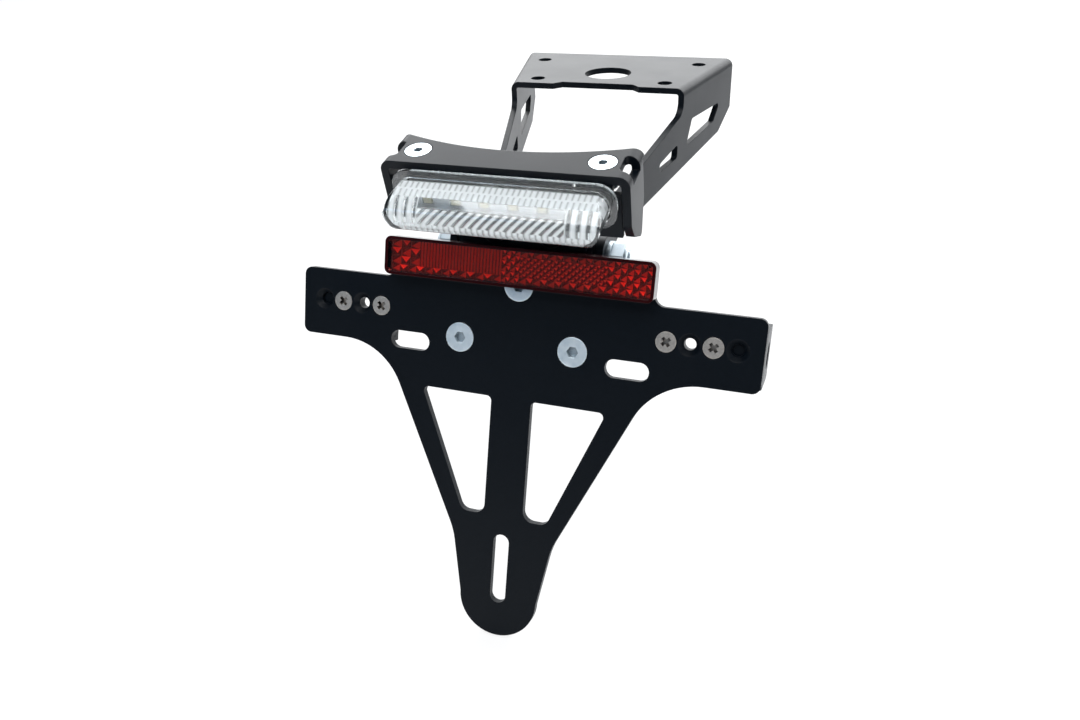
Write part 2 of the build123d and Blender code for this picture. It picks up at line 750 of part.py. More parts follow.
row_seat = carrier_seat - M4["thick"]
row_places = [on_carrier(side * u, wing_row_level) for side in sides for u in screwed]
row_screw = sunk_screw(M4, reach(M4, row_seat), cross_recess())
save("indicator_screws", *[place * row_screw for place in row_places])
save("indicator_washers", *[washer_behind(M4, place, carrier_seat) for place in row_places])
save("indicator_nuts", *[nut_behind(M4, place, row_seat) for place in row_places])

hood_seat = -sheet - lamp_sheet
hood_places = [in_hood(side * hood_screw_half, hood_screw_depth, 0) for side in sides]
hood_recess = hex_recess(M5["socket"], socket_depth)
save("hood_screws", *[place * sunk_screw(M5, reach(M5, hood_seat), hood_recess) for place in hood_places])
save("hood_nuts", *[nut_behind(M5, place, hood_seat) for place in hood_places])

stud_places = [on_lamp(side * stud_half, -stud_drop) for side in sides]
save("lamp_studs", *[place * make_lamp_stud() for place in stud_places])
save("lamp_washers", *[washer_behind(M5, place, plate_back) for place in stud_places])
save("lamp_nuts", *[nut_behind(M5, place, plate_back - M5["thick"]) for place in stud_places])

flange_out = lamp_sheet - sheet
flange_back = -lamp_sheet - sheet
flange_seat = flange_back - M5["thick"]
flange_places = [on_carrier(side * flange_screw_half, flange_screw_level, flange_out) for side in sides]
save("flange_screws", *[place * button_screw(M5, reach(M5, flange_seat)) for place in flange_places])
save("flange_washers", *[washer_behind(M5, place, flange_back) for place in flange_places])
save("flange_nuts", *[nut_behind(M5, place, flange_seat) for place in flange_places])

# Clamping bolts: the head and a washer inside the leg, a washer and the nut outside the ear
head_level = leg_end_half - tail_sheet - M6["thick"]
clamp_seat = bracket_half + M6["thick"]
clamp_length = reach(M6, head_level - clamp_seat)
pivots = [side_place(side) for side in sides]
heads = [place * Pos(0, 0, head_level) for place in pivots]
save("clamp_bolts", *[place * Rot(X=180) * button_screw(M6, clamp_length) for place in heads])
outer_washers = [place * Pos(0, 0, bracket_half) * washer(M6) for place in pivots]
save("clamp_washers", *[place * washer(M6) for place in heads], *outer_washers)
save("clamp_nuts", *[place * Pos(0, 0, clamp_seat) * lock_nut(M6) for place in pivots])
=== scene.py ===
"""Looks of a motorbike tail tidy: black powder-coated sheet, zinc and stainless fixings, a clear
fluted plate lamp and a red prismatic reflector on a white studio floor. Lengths are in mm, and
those of the studio round the object in metres."""
import math

import bmesh
import bpy
from mathutils import Matrix, Vector


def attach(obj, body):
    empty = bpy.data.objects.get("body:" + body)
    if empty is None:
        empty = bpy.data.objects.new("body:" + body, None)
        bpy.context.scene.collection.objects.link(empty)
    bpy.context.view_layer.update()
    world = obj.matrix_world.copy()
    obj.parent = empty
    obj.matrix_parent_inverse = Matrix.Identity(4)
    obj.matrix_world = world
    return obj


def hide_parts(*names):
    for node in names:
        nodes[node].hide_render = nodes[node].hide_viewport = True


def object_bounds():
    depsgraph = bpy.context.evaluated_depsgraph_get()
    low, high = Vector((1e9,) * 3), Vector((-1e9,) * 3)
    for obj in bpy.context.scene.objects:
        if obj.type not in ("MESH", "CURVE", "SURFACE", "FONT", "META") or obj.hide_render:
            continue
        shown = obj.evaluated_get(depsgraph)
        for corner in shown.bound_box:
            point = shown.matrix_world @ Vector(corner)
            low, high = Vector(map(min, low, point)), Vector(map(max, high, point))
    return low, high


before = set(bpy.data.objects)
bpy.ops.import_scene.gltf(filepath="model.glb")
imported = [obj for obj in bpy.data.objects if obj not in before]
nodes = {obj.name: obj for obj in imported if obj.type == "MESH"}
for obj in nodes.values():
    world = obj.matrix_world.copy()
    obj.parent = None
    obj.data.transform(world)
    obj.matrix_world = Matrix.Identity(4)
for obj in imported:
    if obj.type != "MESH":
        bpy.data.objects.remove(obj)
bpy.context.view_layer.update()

MM = 0.001
BODY = "root"

# Carrier: its tilt, and the place of its face between the lower bolts
CARRIER_TILT = math.radians(20.6)
CARRIER_PLACE = Vector((0, -122.587, -67.706))
CARRIER_AXES = Matrix((
    (1, 0, 0),
    (0, math.sin(CARRIER_TILT), -math.cos(CARRIER_TILT)),
    (0, math.cos(CARRIER_TILT), math.sin(CARRIER_TILT))))

# Lamp: its slope, and the middle of the hood's front edge
HOOD_SLOPE = math.radians(10.8)
HOOD_UP, HOOD_OUT = 63.7, 28.3
LAMP_PLACE = CARRIER_PLACE + CARRIER_AXES @ Vector((0, HOOD_UP, HOOD_OUT))
LAMP_AXES = Matrix((
    (1, 0, 0),
    (0, -math.sin(HOOD_SLOPE), -math.cos(HOOD_SLOPE)),
    (0, math.cos(HOOD_SLOPE), -math.sin(HOOD_SLOPE))))

# Camera, solved from the photograph in the carrier's axes
CAMERA_AT = Vector((105.7, 61.5, 302.4))
CAMERA_RIGHT = Vector((0.94642, 0.07379, -0.31440))
CAMERA_DOWN = Vector((0.13302, -0.97619, 0.17133))
CAMERA_AHEAD = Vector((-0.29427, -0.20397, -0.93370))
FOCAL_PIXELS, FRAME_PIXELS, SENSOR = 867.4, 1080.0, 36.0

# Lens of the plate lamp, out from the hood's front edge and down from its top
RIM_BACK, RIM_FRONT = 0.5, 2.0
RIM_HALF, RIM_TOP, RIM_BOTTOM, RIM_RADIUS = 40.3, -2.3, -18.6, 6.4
LENS_HALF, LENS_TOP, LENS_BOTTOM = 38.0, -4.5, -17.8
LENS_RADIUS, LENS_LOW_RADIUS = 5.6, 7.5
# Corners of its side view, out and up
LENS_CREST = ((10.5, -6.2), (15.4, -10.6), (16.6, -16.0), (14.6, -17.8))
LENS_CORNER = 2.0              # reach of the rounding at a corner of the profile
CORNER_SHARE = 0.45            # most of a short edge that one rounding takes
CORNER_CUTS = 5
LENS_WALL = 1.0
LENS_STEP = 0.35               # between points along the profile
LENS_COLUMNS = 381
WELD, SLIVER = 0.002, 0.001    # closer points are joined, and shorter edges taken out
CREASE = math.radians(35)      # a sharper edge stays sharp

# Flutes inside the lens
FLUTE_DEPTH = 0.55
BLOCK_PITCH, RIB_PITCH, END_PITCH = 2.05, 3.1, 3.4
BLOCK_VALLEY, BAND_VALLEY = 0.58, 0.5    # height of a valley as a share of its crest
RIB_SLANT = 31.0               # along the lens, over the whole girth of its profile
END_ZONE = 26.0                # beyond this the ribs stand upright
# Zones of the moulding, as shares of the profile's girth from the upper rear edge
ROW_START, ROW_DIVIDE, DIVIDE_HALF, ROW_END = 0.03, 0.135, 0.008, 0.235
RIB_START, BAND_START, BAND_END = 0.35, 0.52, 0.66

# Reflector, out from the carrier's face
REFLECTOR_HALF, REFLECTOR_LOW, REFLECTOR_HIGH = 50.7, 23.3, 35.3
REFLECTOR_RADIUS = 1.2
PRISM_FLOOR, COVER_BACK, COVER_FRONT = 3.0, 5.2, 6.9

# Prisms behind the cover, in zones from left to right
RIBS_START, RIBS_END, FIELD_START, FIELD_END = -39.0, -6.0, 1.0, 34.0
EDGE_ROW = 2.4                 # height of the rows along the foot and the head
CELL_PITCH, EDGE_PITCH, RIGHT_PITCH = 3.4, 2.72, 2.38
MIDDLE_PITCH, FINE_PITCH, RIDGE_PITCH = 1.95, 1.3, 1.27
STEEP, MEDIUM, FLAT = 1.3, 0.65, 0.32    # rise of a prism
TIP_LEVEL = 0.35               # place of a tip between the foot and the head of its pyramid
# Which face of a pyramid gets the painted glint, and how strong a dull prism's painted glint is beside a lit
# one's
RIGHT_FACE, UPPER_FACE = 1, 2  # of a pyramid, counted round from the lower one
DULL_SHARE = 0.45              # glint of a dull prism beside a lit one

# Studio, in metres
FLOOR_REACH = 14.0
LIGHTS_AIM = Vector((0.0, -0.06, -0.06))
FLOOR_WHITE, FLOOR_SHINE = 0.82, 0.2     # share of plain white to the eye and in reflections
ROOM_WHITE, ROOM_SHINE = 1.0, 0.04
ROOM_NEAR, ROOM_FAR = 0.07, 1.25         # strength on the viewer's side and behind the object


def srgb(text):
    """A hex colour as linear light."""
    values = [int(text[i:i + 2], 16) / 255 for i in (1, 3, 5)]
    linear = [v / 12.92 if v <= 0.04045 else ((v + 0.055) / 1.055) ** 2.4 for v in values]
    return (*linear, 1.0)


def add(tree, kind, inputs=None, **settings):
    """Adds a node, sets it up and links or fills its sockets."""
    node = tree.nodes.new(kind)
    for name, value in settings.items():
        setattr(node, name, value)
    for socket, value in (inputs or {}).items():
        if isinstance(value, bpy.types.NodeSocket):
            tree.links.new(value, node.inputs[socket])
        else:
            node.inputs[socket].default_value = value
    return node


def start(name):
    """An empty material and its node tree."""
    material = bpy.data.materials.new(name)
    material.use_nodes = True
    material.node_tree.nodes.clear()
    return material, material.node_tree


def per_mm(size):
    """Texture scale that gives one feature in that many millimetres."""
    return 1.0 / (size * MM)


def powder_coated_steel():
    """Black powder coat on steel: satin, faintly pebbled, with softly rounded cut edges."""
    material, tree = start("powder_coated_steel")
    place = add(tree, "ShaderNodeTexCoord").outputs["Object"]
    # Orange peel, and the slow drift of the coat's thickness
    pebble = add(tree, "ShaderNodeTexNoise", {"Vector": place, "Scale": per_mm(0.9), "Detail": 2.0})
    drift = add(tree, "ShaderNodeTexNoise", {"Vector": place, "Scale": per_mm(22), "Detail": 3.0})
    rough = add(tree, "ShaderNodeMapRange", {"Value": drift.outputs["Fac"], "To Min": 0.36, "To Max": 0.44})
    tone = add(tree, "ShaderNodeMixRGB", {
        "Fac": pebble.outputs["Fac"], "Color1": srgb("#02060b"), "Color2": srgb("#060c13")})
    edge = add(tree, "ShaderNodeBevel", {"Radius": 0.45 * MM}, samples=6)
    bump = add(tree, "ShaderNodeBump", {
        "Height": pebble.outputs["Fac"], "Strength": 0.10, "Distance": 0.08 * MM, "Normal": edge.outputs[0]})
    shader = add(tree, "ShaderNodeBsdfPrincipled", {
        "Base Color": tone.outputs[0], "Roughness": rough.outputs[0], "Normal": bump.outputs[0],
        "Specular IOR Level": 0.12, "IOR": 1.5})
    add(tree, "ShaderNodeOutputMaterial", {"Surface": shader.outputs[0]})
    return material


def zinc_plated_steel():
    """Bright zinc on cold-formed steel: pale blue-white, slightly cloudy, with painted shade darkening its
    recesses.
    """
    material, tree = start("zinc_plated_steel")
    place = add(tree, "ShaderNodeTexCoord").outputs["Object"]
    # The grit of real plating is far finer; it is drawn coarse enough to show
    cloud = add(tree, "ShaderNodeTexNoise", {"Vector": place, "Scale": per_mm(2.2), "Detail": 4.0})
    grit = add(tree, "ShaderNodeTexNoise", {"Vector": place, "Scale": per_mm(0.35), "Detail": 2.0})
    tone = add(tree, "ShaderNodeMixRGB", {
        "Fac": cloud.outputs["Fac"], "Color1": srgb("#cfdfe8"), "Color2": srgb("#f2f8fb")})
    # Painted shade: ambient occlusion within 2.5 mm mixes the colour toward dark blue-grey in sockets and
    # crevices
    painted_recess_shade = add(tree, "ShaderNodeAmbientOcclusion", {"Distance": 2.5 * MM}, samples=4)
    tone = add(tree, "ShaderNodeMixRGB", {
        "Fac": painted_recess_shade.outputs["AO"], "Color1": srgb("#1c3040"), "Color2": tone.outputs[0]})
    rough = add(tree, "ShaderNodeMapRange", {"Value": cloud.outputs["Fac"], "To Min": 0.34, "To Max": 0.48})
    edge = add(tree, "ShaderNodeBevel", {"Radius": 0.2 * MM}, samples=6)
    bump = add(tree, "ShaderNodeBump", {
        "Height": grit.outputs["Fac"], "Strength": 0.12, "Distance": 0.05 * MM, "Normal": edge.outputs[0]})
    shader = add(tree, "ShaderNodeBsdfPrincipled", {
        "Base Color": tone.outputs[0], "Roughness": rough.outputs[0], "Normal": bump.outputs[0],
        "Metallic": 1.0})
    add(tree, "ShaderNodeOutputMaterial", {"Surface": shader.outputs[0]})
    return material


def cold_headed_stainless_steel():
    """Stainless steel formed cold and left bare: warm grey with fine scuffs, with painted shade darkening
    its recesses.
    """
    material, tree = start("cold_headed_stainless_steel")
    place = add(tree, "ShaderNodeTexCoord").outputs["Object"]
    # Real scuffs are finer; they are drawn coarse enough to show
    scuff = add(tree, "ShaderNodeTexNoise", {"Vector": place, "Scale": per_mm(0.6), "Detail": 5.0})
    tone = add(tree, "ShaderNodeMixRGB", {
        "Fac": scuff.outputs["Fac"], "Color1": srgb("#a39c94"), "Color2": srgb("#d3cdc6")})
    # Painted shade: ambient occlusion within 2 mm mixes the colour toward near-black in sockets and crevices
    painted_recess_shade = add(tree, "ShaderNodeAmbientOcclusion", {"Distance": 2.0 * MM}, samples=4)
    tone = add(tree, "ShaderNodeMixRGB", {
        "Fac": painted_recess_shade.outputs["AO"], "Color1": srgb("#15120e"), "Color2": tone.outputs[0]})
    rough = add(tree, "ShaderNodeMapRange", {"Value": scuff.outputs["Fac"], "To Min": 0.32, "To Max": 0.48})
    edge = add(tree, "ShaderNodeBevel", {"Radius": 0.15 * MM}, samples=6)
    bump = add(tree, "ShaderNodeBump", {
        "Height": scuff.outputs["Fac"], "Strength": 0.10, "Distance": 0.04 * MM, "Normal": edge.outputs[0]})
    shader = add(tree, "ShaderNodeBsdfPrincipled", {
        "Base Color": tone.outputs[0], "Roughness": rough.outputs[0], "Normal": bump.outputs[0],
        "Metallic": 1.0})
    add(tree, "ShaderNodeOutputMaterial", {"Surface": shader.outputs[0]})
    return material


def moulded_clear_polycarbonate():
    """Clear polycarbonate from a polished mould: bright edges, hardly a tint, faint flow marks."""
    material, tree = start("moulded_clear_polycarbonate")
    place = add(tree, "ShaderNodeTexCoord").outputs["Object"]
    flow = add(tree, "ShaderNodeTexNoise", {"Vector": place, "Scale": per_mm(6.0), "Detail": 2.0})
    rough = add(tree, "ShaderNodeMapRange", {"Value": flow.outputs["Fac"], "To Min": 0.02, "To Max": 0.07})
    shader = add(tree, "ShaderNodeBsdfPrincipled", {
        "Base Color": srgb("#f6fafb"), "Roughness": rough.outputs[0], "IOR": 1.585,
        "Transmission Weight": 1.0})
    add(tree, "ShaderNodeOutputMaterial", {"Surface": shader.outputs[0]})
    return material


def moulded_fluted_polycarbonate():
    """The fluted inside of the lens: clear in its valleys, white where a crest scatters the light."""
    material, tree = start("moulded_fluted_polycarbonate")
    crest = add(tree, "ShaderNodeAttribute", attribute_name="haze").outputs["Fac"]
    clear = add(tree, "ShaderNodeMapRange", {
        "Value": crest, "From Min": 0.4, "From Max": 0.85, "To Min": 0.92, "To Max": 0.04})
    rough = add(tree, "ShaderNodeMapRange", {"Value": crest, "To Min": 0.04, "To Max": 0.3})
    shader = add(tree, "ShaderNodeBsdfPrincipled", {
        "Base Color": srgb("#f3f6f8"), "Roughness": rough.outputs[0], "IOR": 1.585,
        "Transmission Weight": clear.outputs[0]})
    add(tree, "ShaderNodeOutputMaterial", {"Surface": shader.outputs[0]})
    return material


def moulded_red_acrylic():
    """Red clear acrylic from a polished mould: a glossy skin with a faint unevenness."""
    material, tree = start("moulded_red_acrylic")
    place = add(tree, "ShaderNodeTexCoord").outputs["Object"]
    flow = add(tree, "ShaderNodeTexNoise", {"Vector": place, "Scale": per_mm(8.0), "Detail": 2.0})
    rough = add(tree, "ShaderNodeMapRange", {"Value": flow.outputs["Fac"], "To Min": 0.02, "To Max": 0.08})
    shader = add(tree, "ShaderNodeBsdfPrincipled", {
        "Base Color": srgb("#ff8076"), "Roughness": rough.outputs[0], "IOR": 1.49,
        "Transmission Weight": 1.0})
    add(tree, "ShaderNodeOutputMaterial", {"Surface": shader.outputs[0]})
    return material


def moulded_prism_acrylic():
    """Prisms moulded behind the red cover: dark red, with painted glints in bright red-orange on the faces
    marked in the glint attribute.
    """
    material, tree = start("moulded_prism_acrylic")
    # Painted glint: the glint attribute mixes the base colour from dark red to bright red-orange
    glint = add(tree, "ShaderNodeAttribute", attribute_name="glint").outputs["Fac"]
    spark = add(tree, "ShaderNodeMapRange", {"Value": glint})
    tone = add(tree, "ShaderNodeMixRGB", {
        "Fac": spark.outputs[0], "Color1": srgb("#3a0205"), "Color2": srgb("#ff7450")})
    shader = add(tree, "ShaderNodeBsdfPrincipled", {
        "Base Color": tone.outputs[0], "Roughness": 0.3, "Specular IOR Level": 0.15})
    add(tree, "ShaderNodeOutputMaterial", {"Surface": shader.outputs[0]})
    return material


def fine_grained(name, colour, rough, level=0.5):
    """A material of one colour with a fine grain in its skin and softly rounded edges."""
    material, tree = start(name)
    place = add(tree, "ShaderNodeTexCoord").outputs["Object"]
    # The real grain is finer; it is drawn coarse enough to show
    grain = add(tree, "ShaderNodeTexNoise", {"Vector": place, "Scale": per_mm(0.4), "Detail": 2.0})
    spread = add(tree, "ShaderNodeMapRange", {
        "Value": grain.outputs["Fac"], "To Min": rough - 0.05, "To Max": rough + 0.05})
    edge = add(tree, "ShaderNodeBevel", {"Radius": 0.25 * MM}, samples=6)
    bump = add(tree, "ShaderNodeBump", {
        "Height": grain.outputs["Fac"], "Strength": 0.06, "Distance": 0.04 * MM, "Normal": edge.outputs[0]})
    shader = add(tree, "ShaderNodeBsdfPrincipled", {
        "Base Color": srgb(colour), "Roughness": spread.outputs[0], "Normal": bump.outputs[0],
        "Specular IOR Level": level, "IOR": 1.53})
    add(tree, "ShaderNodeOutputMaterial", {"Surface": shader.outputs[0]})
    return material


def vacuum_metallised_abs():
    """Vacuum-metallised ABS: a soft, slightly rippled mirror."""
    material, tree = start("vacuum_metallised_abs")
    place = add(tree, "ShaderNodeTexCoord").outputs["Object"]
    ripple = add(tree, "ShaderNodeTexNoise", {"Vector": place, "Scale": per_mm(3.0), "Detail": 2.0})
    bump = add(tree, "ShaderNodeBump", {
        "Height": ripple.outputs["Fac"], "Strength": 0.2, "Distance": 0.2 * MM})
    shader = add(tree, "ShaderNodeBsdfPrincipled", {
        "Base Color": srgb("#c4c9cc"), "Roughness": 0.2, "Metallic": 0.55, "Normal": bump.outputs[0]})
    add(tree, "ShaderNodeOutputMaterial", {"Surface": shader.outputs[0]})
    return material


def on_carrier(u, v, n):
    """A place across, up and out from the carrier's face."""
    return (CARRIER_PLACE + CARRIER_AXES @ Vector((u, v, n))) * MM


def on_lamp(x, height, out):
    """A place along, up and out from the hood's front edge."""
    return (LAMP_PLACE + LAMP_AXES @ Vector((x, height, out))) * MM


def piece(name, mesh, material):
    """A new piece that rides with the object."""
    item = bpy.data.objects.new(name, mesh)
    bpy.context.scene.collection.objects.link(item)
    mesh.materials.append(material)
    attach(item, BODY)
    return item


def rounded_loop(half, low, high, radius, steps=8):
    """Points round a rectangle with round corners, counter-clockwise."""
    points = []
    corners = ((half, high, 0), (-half, high, 90), (-half, low, 180), (half, low, 270))
    for x, y, turn in corners:
        centre = (x - math.copysign(radius, x), (high - radius) if y == high else (low + radius))
        for step in range(steps + 1):
            angle = math.radians(turn + 90 * step / steps)
            points.append((centre[0] + radius * math.cos(angle), centre[1] + radius * math.sin(angle)))
    return points


def lens_rim(bm):
    """The flat rim round the lens."""
    outer = rounded_loop(RIM_HALF, RIM_BOTTOM, RIM_TOP, RIM_RADIUS)
    inner = rounded_loop(LENS_HALF, LENS_BOTTOM, LENS_TOP, LENS_RADIUS)
    rows = []
    for loop, out in ((outer, RIM_BACK), (outer, RIM_FRONT), (inner, RIM_FRONT), (inner, RIM_BACK)):
        rows.append([bm.verts.new(on_lamp(x, y, out)) for x, y in loop])
    count = len(outer)
    for first, second in zip(rows, rows[1:] + rows[:1]):
        for i in range(count):
            j = (i + 1) % count
            bm.faces.new((first[i], first[j], second[j], second[i]))


def lens_profile():
    """The lens in side view from its upper to its lower rear edge, its corners rounded."""
    knots = [(RIM_FRONT, LENS_TOP), *LENS_CREST, (RIM_FRONT, LENS_BOTTOM)]
    points = [Vector(knots[0])]
    for before, corner, after in zip(knots, knots[1:], knots[2:]):
        corner, before, after = Vector(corner), Vector(before), Vector(after)
        shorter = min((corner - before).length, (after - corner).length)
        reach = min(LENS_CORNER, CORNER_SHARE * shorter)
        enter = corner + (before - corner).normalized() * reach
        leave = corner + (after - corner).normalized() * reach
        for step in range(CORNER_CUTS + 1):
            t = step / CORNER_CUTS
            points.append(enter * (1 - t) ** 2 + corner * 2 * t * (1 - t) + leave * t ** 2)
    points.append(Vector(knots[-1]))
    dense = [points[0]]
    for first, second in zip(points, points[1:]):
        cuts = max(1, round((second - first).length / LENS_STEP))
        dense += [first.lerp(second, (i + 1) / cuts) for i in range(cuts)]
    return dense


def wave(value, pitch, valley=0.0):
    """A rounded rib across one pitch, from its valley's height to 1 on its crest."""
    return valley + (1 - valley) * abs(math.sin(math.pi * value / pitch))


def flute(x, share):
    """Height of the moulding inside the lens at a place, from 0 in the clear to 1 on a crest."""
    if share < ROW_START or share > BAND_END:
        return 0.0
    if abs(share - ROW_DIVIDE) < DIVIDE_HALF:
        return 1.0
    if share < ROW_END:
        shift = 0.0 if share < ROW_DIVIDE else BLOCK_PITCH / 2
        return wave(x + shift, BLOCK_PITCH, BLOCK_VALLEY)
    if share > BAND_START:
        return wave(x, BLOCK_PITCH, BAND_VALLEY)
    if abs(x) > END_ZONE:
        return wave(x, END_PITCH)
    if share < RIB_START:
        return 0.0
    return wave(x + RIB_SLANT * share, RIB_PITCH)


def corner_cut(x, half, radius):
    """How far the round front corner has come in at a place along the lens."""
    past = max(0.0, abs(x) - (half - radius))
    return radius - math.sqrt(max(0.0, radius ** 2 - past ** 2))


def lens_skin(bm, profile, wall):
    """One skin of the lens as a grid of points: the plain outside when the wall is zero."""
    lengths = [0.0]
    for first, second in zip(profile, profile[1:]):
        lengths.append(lengths[-1] + (second - first).length)
    half = LENS_HALF - wall
    haze = bm.verts.layers.float["haze"]
    rows = []
    for column in range(LENS_COLUMNS):
        x = half * (2 * column / (LENS_COLUMNS - 1) - 1)
        high = LENS_TOP - wall - corner_cut(x, half, LENS_RADIUS - wall)
        low = LENS_BOTTOM + wall + corner_cut(x, half, LENS_LOW_RADIUS - wall)
        row = []
        for index, point in enumerate(profile):
            before = profile[max(0, index - 1)]
            after = profile[min(len(profile) - 1, index + 1)]
            along = (after - before).normalized()
            inward = Vector((along.y, -along.x))
            crest = flute(x, lengths[index] / lengths[-1]) if wall else 0.0
            place = point + inward * (wall + FLUTE_DEPTH * crest)
            place.x = max(place.x, RIM_BACK)
            height = min(high, max(low, place.y))
            vert = bm.verts.new(on_lamp(x, height, place.x))
            vert[haze] = crest
            row.append(vert)
        rows.append(row)
    faces = [bm.faces.new((first[i], first[i + 1], second[i + 1], second[i]))
             for first, second in zip(rows, rows[1:]) for i in range(len(profile) - 1)]
    faces += [bm.faces.new(row) for row in (rows[0], rows[-1])]
    for face in faces:
        face.material_index = 1 if wall else 0
    return rows


def make_lens(clear, fluted):
    """Clear lens with flutes on its inside and a flat rim round it."""
    bm = bmesh.new()
    bm.verts.layers.float.new("haze")
    profile = lens_profile()
    outside = lens_skin(bm, profile, 0.0)
    inside = lens_skin(bm, profile, LENS_WALL)
    for side in (0, -1):
        for first, second in zip(zip(outside, inside), zip(outside[1:], inside[1:])):
            bm.faces.new((first[0][side], second[0][side], second[1][side], first[1][side]))
    bmesh.ops.remove_doubles(bm, verts=bm.verts, dist=WELD * MM)
    bmesh.ops.dissolve_degenerate(bm, edges=bm.edges, dist=SLIVER * MM)
    lens_rim(bm)
    bmesh.ops.recalc_face_normals(bm, faces=bm.faces)
    mesh = bpy.data.meshes.new("fluted_lens")
    bm.to_mesh(mesh)
    bm.free()
    for face in mesh.polygons:
        face.use_smooth = True
    mesh.set_sharp_from_angle(angle=CREASE)
    item = piece("fluted_lens", mesh, clear)
    mesh.materials.append(fluted)
    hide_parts("lamp_lens")


def prism_base(bm, left, low, right, high):
    """The four corners of a prism on the reflector's floor."""
    corners = ((left, low), (right, low), (right, high), (left, high))
    return [bm.verts.new(on_carrier(x, y, PRISM_FLOOR)) for x, y in corners]


def pyramid(bm, base, tip, rise, bright, glow):
    """A four-sided prism with a painted glint on one face."""
    top = bm.verts.new(on_carrier(*tip, PRISM_FLOOR + rise))
    faces = [bm.faces.new((base[i], base[(i + 1) % 4], top)) for i in range(4)]
    faces[bright][bm.faces.layers.float["glint"]] = glow


def ridge(bm, left, low, right, high, rise, glow):
    """An upright rib with a painted glint on its right side."""
    base = prism_base(bm, left, low, right, high)
    middle = (left + right) / 2
    tops = [bm.verts.new(on_carrier(middle, y, PRISM_FLOOR + rise)) for y in (low, high)]
    bm.faces.new((base[0], tops[0], tops[1], base[3]))
    bright = bm.faces.new((tops[0], base[1], base[2], tops[1]))
    bright[bm.faces.layers.float["glint"]] = glow


def prism_rows(bm, left, right, low, high, pitch, lean, rise, glow):
    """A block of pyramids whose tips lean in turn to one side and the other; every other one is dull, with a
    weaker painted glint on its right face.
    """
    columns = max(1, round((right - left) / pitch))
    rows = max(1, round((high - low) / pitch))
    wide, tall = (right - left) / columns, (high - low) / rows
    for column in range(columns):
        for row in range(rows):
            x, y = left + column * wide, low + row * tall
            base = prism_base(bm, x, y, x + wide, y + tall)
            lit = (row + column) % 2
            tip = (x + wide * (0.5 + (lean if lit else -lean)), y + tall * TIP_LEVEL)
            if lit:
                pyramid(bm, base, tip, rise, UPPER_FACE, glow)
            else:
                pyramid(bm, base, tip, rise, RIGHT_FACE, glow * DULL_SHARE)


def prism_field():
    """Prisms by the zones of the moulding: cells at the ends and foot, ribs and a fine field between."""
    bm = bmesh.new()
    bm.faces.layers.float.new("glint")
    left, right, low, high = -REFLECTOR_HALF, REFLECTOR_HALF, REFLECTOR_LOW, REFLECTOR_HIGH
    foot, head = low + EDGE_ROW, high - EDGE_ROW
    # glow is the strength of each block's painted glint
    prism_rows(bm, left, RIBS_START, foot, high, pitch=CELL_PITCH, lean=0.22, rise=STEEP, glow=0.8)
    prism_rows(bm, left, RIBS_END, low, foot, pitch=CELL_PITCH, lean=0.1, rise=STEEP, glow=1.0)
    for rib in range(round((RIBS_END - RIBS_START) / RIDGE_PITCH)):
        x = RIBS_START + rib * RIDGE_PITCH
        ridge(bm, x, foot, x + RIDGE_PITCH, high, rise=FLAT, glow=0.3)
    prism_rows(bm, RIBS_END, FIELD_START, low, high, pitch=MIDDLE_PITCH, lean=0.3, rise=MEDIUM, glow=1.0)
    prism_rows(bm, FIELD_START, FIELD_END, foot, head, pitch=FINE_PITCH, lean=0.15, rise=FLAT, glow=0.7)
    prism_rows(bm, FIELD_START, FIELD_END, low, foot, pitch=EDGE_PITCH, lean=0.3, rise=STEEP, glow=0.8)
    prism_rows(bm, FIELD_START, FIELD_END, head, high, pitch=EDGE_PITCH, lean=0.3, rise=STEEP, glow=0.6)
    prism_rows(bm, FIELD_END, right, low, high, pitch=RIGHT_PITCH, lean=0.3, rise=STEEP, glow=1.0)
    mesh = bpy.data.meshes.new("reflector_prisms")
    bm.to_mesh(mesh)
    bm.free()
    return mesh


def make_reflector(cover_material, prism_material):
    """Red cover over a field of prisms."""
    bm = bmesh.new()
    loop = rounded_loop(REFLECTOR_HALF, REFLECTOR_LOW, REFLECTOR_HIGH, REFLECTOR_RADIUS, steps=4)
    back = [bm.verts.new(on_carrier(x, y, COVER_BACK)) for x, y in loop]
    front = [bm.verts.new(on_carrier(x, y, COVER_FRONT)) for x, y in loop]
    bm.faces.new(front)
    bm.faces.new(list(reversed(back)))
    for i in range(len(loop)):
        j = (i + 1) % len(loop)
        bm.faces.new((back[i], back[j], front[j], front[i]))
    bmesh.ops.recalc_face_normals(bm, faces=bm.faces)
    mesh = bpy.data.meshes.new("reflector_cover")
    bm.to_mesh(mesh)
    bm.free()
    cover = piece("reflector_cover", mesh, cover_material)
    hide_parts("reflector_lens")
    piece("reflector_prisms", prism_field(), prism_material)


def dress(material, *names):
    """Gives CAD pieces their finish."""
    for name in names:
        mesh = nodes[name].data
        mesh.materials.clear()
        mesh.materials.append(material)


def background_share(tree, direct, glossy):
    """How white a background looks: to the camera and through glass, and in glossy reflections."""
    seen = add(tree, "ShaderNodeLightPath")
    plain = add(tree, "ShaderNodeMath", {
        0: seen.outputs["Is Camera Ray"], 1: seen.outputs["Is Transmission Ray"]}, operation="MAXIMUM")
    plain = add(tree, "ShaderNodeMath", {0: plain.outputs[0], 1: direct}, operation="MULTIPLY")
    shine = add(tree, "ShaderNodeMath", {0: seen.outputs["Is Glossy Ray"], 1: glossy}, operation="MULTIPLY")
    return add(tree, "ShaderNodeMath", {
        0: plain.outputs[0], 1: shine.outputs[0]}, operation="MAXIMUM").outputs[0]


